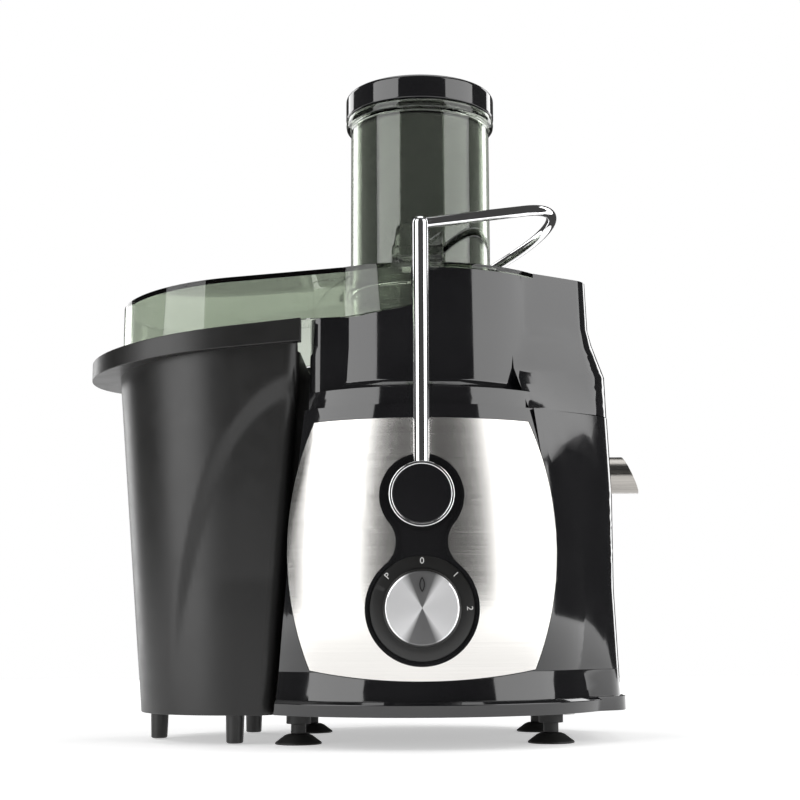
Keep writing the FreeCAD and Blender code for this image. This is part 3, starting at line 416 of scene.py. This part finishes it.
def bin_wall(inset):
    """The tapered bin's wall: a place for (index, height), the top of an index, and the count.

    A side runs flat from the corner to a round nose; the arc-shaped recess is pressed into both
    sides.
    """
    def station(rise):
        """Plan outline and half width at a share of the height."""
        right, half, centre = (low + (high - low) * rise for low, high in
                               (BIN_FACE_X, BIN_HALF, BIN_CENTRE_X))
        right, half = right - inset, half - inset
        corner, steps = BIN_CORNER, BIN_CORNER_STEPS
        ring = [(right - corner + (centre - right + corner) * i / BIN_SIDE_STEPS, -half)
                for i in range(BIN_SIDE_STEPS)]
        for i in range(BIN_NOSE_STEPS + 1):
            turn = math.pi * i / BIN_NOSE_STEPS
            ring.append((centre - half * math.sin(turn), -half * math.cos(turn)))
        ring += [(centre + (right - corner - centre) * i / BIN_SIDE_STEPS, half)
                 for i in range(1, BIN_SIDE_STEPS + 1)]
        for i in range(1, steps + 1):
            turn = math.pi / 2 * i / steps
            ring.append((right - corner + corner * math.sin(turn),
                         half - corner + corner * math.cos(turn)))
        ring += [(right, (half - corner) * (1 - i / steps)) for i in range(1, 2 * steps)]
        for i in range(steps):
            turn = math.pi / 2 * i / steps
            ring.append((right - corner + corner * math.cos(turn),
                         corner - half - corner * math.sin(turn)))
        return ring, half

    rim = station(1.0)[0]

    def top(index):
        x, y = rim[index]
        if x > LOW_WALL_X and abs(y) < BIN_MOUTH:
            return BIN_LOW_WALL
        return plane(x, *WALL_PLANE)

    def place(index, z):
        ring, half = station((z - BIN_LOW) / (BIN_TOP - BIN_LOW))
        x, y = ring[index]
        reach = math.hypot((x - ARC_X) / ARC_A, (z - ARC_Z) / ARC_B)
        edge = clamp((1.0 - reach) * ARC_A / ARC_SOFT + 0.5)
        fade = clamp((z - ARC_Z + ARC_FADE_START) / ARC_FADE)
        depth = ARC_DEPTH * edge * edge * (3 - 2 * edge) * fade
        return at(x, y * (1.0 - depth / half), z)
    return place, top, len(rim)


def bridge(build, rows, closed=True):
    """Quads between rows of vertices."""
    for low, high in zip(rows, rows[1:]):
        count = len(low)
        for i in range(count if closed else count - 1):
            build.faces.new((low[i], low[(i + 1) % count], high[(i + 1) % count], high[i]))


def bin_skin():
    """Moulded pulp bin: smooth tapered walls with the pressed arc, a flanged rim and peg feet."""
    build = bmesh.new()
    outer, top, count = bin_wall(0.0)
    inner = bin_wall(BIN_SHELL)[0]
    rows = []
    for step in range(OUTER_ROWS + 1):
        share = step / OUTER_ROWS
        rows.append([build.verts.new(outer(i, BIN_LOW + (top(i) - BIN_LOW) * share))
                     for i in range(count)])
    floor = BIN_LOW + BIN_SHELL
    for step in range(INNER_ROWS + 1):
        share = 1 - step / INNER_ROWS
        rows.append([build.verts.new(inner(i, floor + (top(i) - floor) * share))
                     for i in range(count)])
    bridge(build, rows)
    build.faces.new(list(reversed(rows[0])))
    build.faces.new(rows[-1])

    outline, opening = [], []
    centre = BIN_CENTRE_X[1]
    for i in range(RIM_SIDE_STEPS):
        x = RIM_FACE_X + (centre - RIM_FACE_X) * i / RIM_SIDE_STEPS
        outline.append((x, -RIM_HALF))
        opening.append((x, -BIN_MOUTH))
    for i in range(RIM_NOSE_STEPS + 1):
        turn = math.pi * i / RIM_NOSE_STEPS
        outline.append((centre - RIM_NOSE * math.sin(turn), -RIM_HALF * math.cos(turn)))
        opening.append((centre - BIN_MOUTH * math.sin(turn), -BIN_MOUTH * math.cos(turn)))
    for i in range(1, RIM_SIDE_STEPS + 1):
        x = centre + (RIM_FACE_X - centre) * i / RIM_SIDE_STEPS
        outline.append((x, RIM_HALF))
        opening.append((x, BIN_MOUTH))
    under, over, over_in, under_in = (
        [build.verts.new(at(x, y, plane(x, *level))) for x, y in edge] for edge, level in
        ((outline, RIM_UNDER), (outline, RIM_OVER), (opening, RIM_OVER), (opening, RIM_UNDER)))
    bridge(build, [under, over, over_in, under_in, under], closed=False)
    build.faces.new((under[0], under_in[0], over_in[0], over[0]))
    build.faces.new((under[-1], over[-1], over_in[-1], under_in[-1]))

    for x, y in PEGS:
        rings = [[build.verts.new(at(x + radius * math.cos(math.tau * k / PEG_SIDES),
                                     y + radius * math.sin(math.tau * k / PEG_SIDES), z))
                  for k in range(PEG_SIDES)] for z, radius in PEG_RINGS]
        bridge(build, rings)
        build.faces.new(list(reversed(rings[0])))
        build.faces.new(rings[-1])
    bmesh.ops.recalc_face_normals(build, faces=build.faces)
    mesh = bpy.data.meshes.new("pulp_bin_skin")
    build.to_mesh(mesh)
    build.free()
    smooth(mesh, BIN_CREASE)
    piece = add_object("pulp_bin_skin", mesh, "pulp_bin_body", "satin_black", ("pulp_bin",))
    rounding = piece.modifiers.new("rounding", "BEVEL")
    rounding.width = BIN_ROUNDING
    rounding.segments = 3
    rounding.limit_method = "ANGLE"
    rounding.angle_limit = math.radians(BIN_ROUNDED_ANGLE)


def dial_marks():
    """Setting marks printed on the sloping dial ring."""
    for text, turn in DIAL_MARKS:
        curve = bpy.data.curves.new("mark_" + text, "FONT")
        curve.body = text
        curve.size = MARK_SIZE
        curve.extrude = MARK_RELIEF
        curve.align_x = "CENTER"
        curve.align_y = "CENTER"
        holder = bpy.data.objects.new("mark_holder_" + text, curve)
        bpy.context.scene.collection.objects.link(holder)
        bpy.context.view_layer.update()
        mesh = bpy.data.meshes.new_from_object(holder.evaluated_get(
            bpy.context.evaluated_depsgraph_get()))
        bpy.data.objects.remove(holder)
        place = (Matrix.Translation((AXIS_X, DIAL_FACE_Y + MARK_SINK, DIAL_Z))
                 @ Matrix.Rotation(math.radians(turn), 4, "Y")
                 @ Matrix.Translation((0, 0, MARK_RADIUS))
                 @ Matrix.Rotation(math.pi / 2 - MARK_SLOPE, 4, "X"))
        mesh.transform(place)
        mesh.materials.clear()
        mesh.materials.append(WHITE_INK)
        add_object("dial_mark_" + text, mesh, "base", "satin_black")


# ---------------------------------------------------------------- stage, light and camera
def white_stage():
    """Pale floor that brightens away from the object, and white surroundings that light dimly."""
    scene = bpy.context.scene
    scene.view_settings.view_transform = "Standard"
    world = bpy.data.worlds.new("studio")
    scene.world = world
    world.use_nodes = True
    tree = world.node_tree
    tree.nodes.clear()
    output = tree.nodes.new("ShaderNodeOutputWorld")
    bright = tree.nodes.new("ShaderNodeBackground")
    bright.inputs["Color"].default_value = (1.0, 1.0, 1.0, 1.0)
    bright.inputs["Strength"].default_value = SURROUND_SEEN
    dim = tree.nodes.new("ShaderNodeBackground")
    dim.inputs["Color"].default_value = (1.0, 0.99, 0.98, 1.0)
    dim.inputs["Strength"].default_value = SURROUND_LIGHT
    path = tree.nodes.new("ShaderNodeLightPath")
    seen = tree.nodes.new("ShaderNodeMath")
    seen.operation = "MAXIMUM"
    mix = tree.nodes.new("ShaderNodeMixShader")
    tree.links.new(path.outputs["Is Camera Ray"], seen.inputs[0])
    tree.links.new(path.outputs["Is Transmission Ray"], seen.inputs[1])
    tree.links.new(seen.outputs["Value"], mix.inputs["Fac"])
    tree.links.new(dim.outputs["Background"], mix.inputs[1])
    tree.links.new(bright.outputs["Background"], mix.inputs[2])
    tree.links.new(mix.outputs["Shader"], output.inputs["Surface"])

    build = bmesh.new()
    bmesh.ops.create_grid(build, x_segments=FLOOR_CELLS, y_segments=FLOOR_CELLS, size=FLOOR_HALF)
    mesh = bpy.data.meshes.new("floor")
    build.to_mesh(mesh)
    build.free()
    floor = bpy.data.objects.new("floor", mesh)
    scene.collection.objects.link(floor)
    material, tree, shader = new_material("pale_floor")
    tree.links.new(two_tone(tree, noise(tree, 3.0), (0.90, 0.90, 0.90), (0.93, 0.93, 0.93)),
                   shader.inputs["Base Color"])
    shader.inputs["Roughness"].default_value = 0.9
    shader.inputs["Emission Color"].default_value = (1.0, 1.0, 1.0, 1.0)
    away = tree.nodes.new("ShaderNodeVectorMath")
    away.operation = "LENGTH"
    spot = tree.nodes.new("ShaderNodeTexCoord")
    tree.links.new(spot.outputs["Object"], away.inputs[0])
    glow = tree.nodes.new("ShaderNodeMapRange")
    glow.inputs["From Min"].default_value = GLOW_START
    glow.inputs["From Max"].default_value = GLOW_FULL
    glow.inputs["To Min"].default_value = GLOW_NEAR
    glow.inputs["To Max"].default_value = GLOW_FAR
    tree.links.new(away.outputs["Value"], glow.inputs["Value"])
    tree.links.new(glow.outputs["Result"], shader.inputs["Emission Strength"])
    mesh.materials.append(material)


def area_light(name, width, height, power):
    """Rectangular light that the camera doesn't see."""
    light = bpy.data.lights.new(name, "AREA")
    light.shape = "RECTANGLE"
    light.size = width
    light.size_y = height
    light.energy = power
    item = bpy.data.objects.new(name, light)
    item.visible_camera = False
    bpy.context.scene.collection.objects.link(item)
    return item


def lights():
    """Broad boxes left and right of the camera, rim lights behind and a soft light overhead."""
    for name, azimuth, distance, width, height, centre_z, power in SOFT_BOXES:
        item = area_light(name, width, height, power)
        turn = math.radians(azimuth)
        item.location = (AXIS_X + distance * math.sin(turn), -distance * math.cos(turn), centre_z)
        aim = Vector((AXIS_X, 0.0, AIM_Z)) - item.location
        item.rotation_euler = aim.to_track_quat("-Z", "Y").to_euler()
    area_light("top", TOP_SIZE, TOP_SIZE, TOP_POWER).location = (AXIS_X, TOP_Y, TOP_Z)


def camera():
    """Low camera in front, tilted slightly up."""
    data = bpy.data.cameras.new("camera")
    data.lens = LENS
    data.sensor_width = SENSOR
    data.shift_x = SHIFT_X
    data.clip_start = 0.01
    item = bpy.data.objects.new("camera", data)
    item.location = (AXIS_X, -CAMERA_DISTANCE, CAMERA_HEIGHT)
    item.rotation_euler = (math.radians(CAMERA_TILT), math.radians(CAMERA_ROLL), 0.0)
    bpy.context.scene.collection.objects.link(item)
    bpy.context.scene.camera = item


paint_cad_nodes()
shells()
bin_skin()
dial_marks()
white_stage()
lights()
camera()
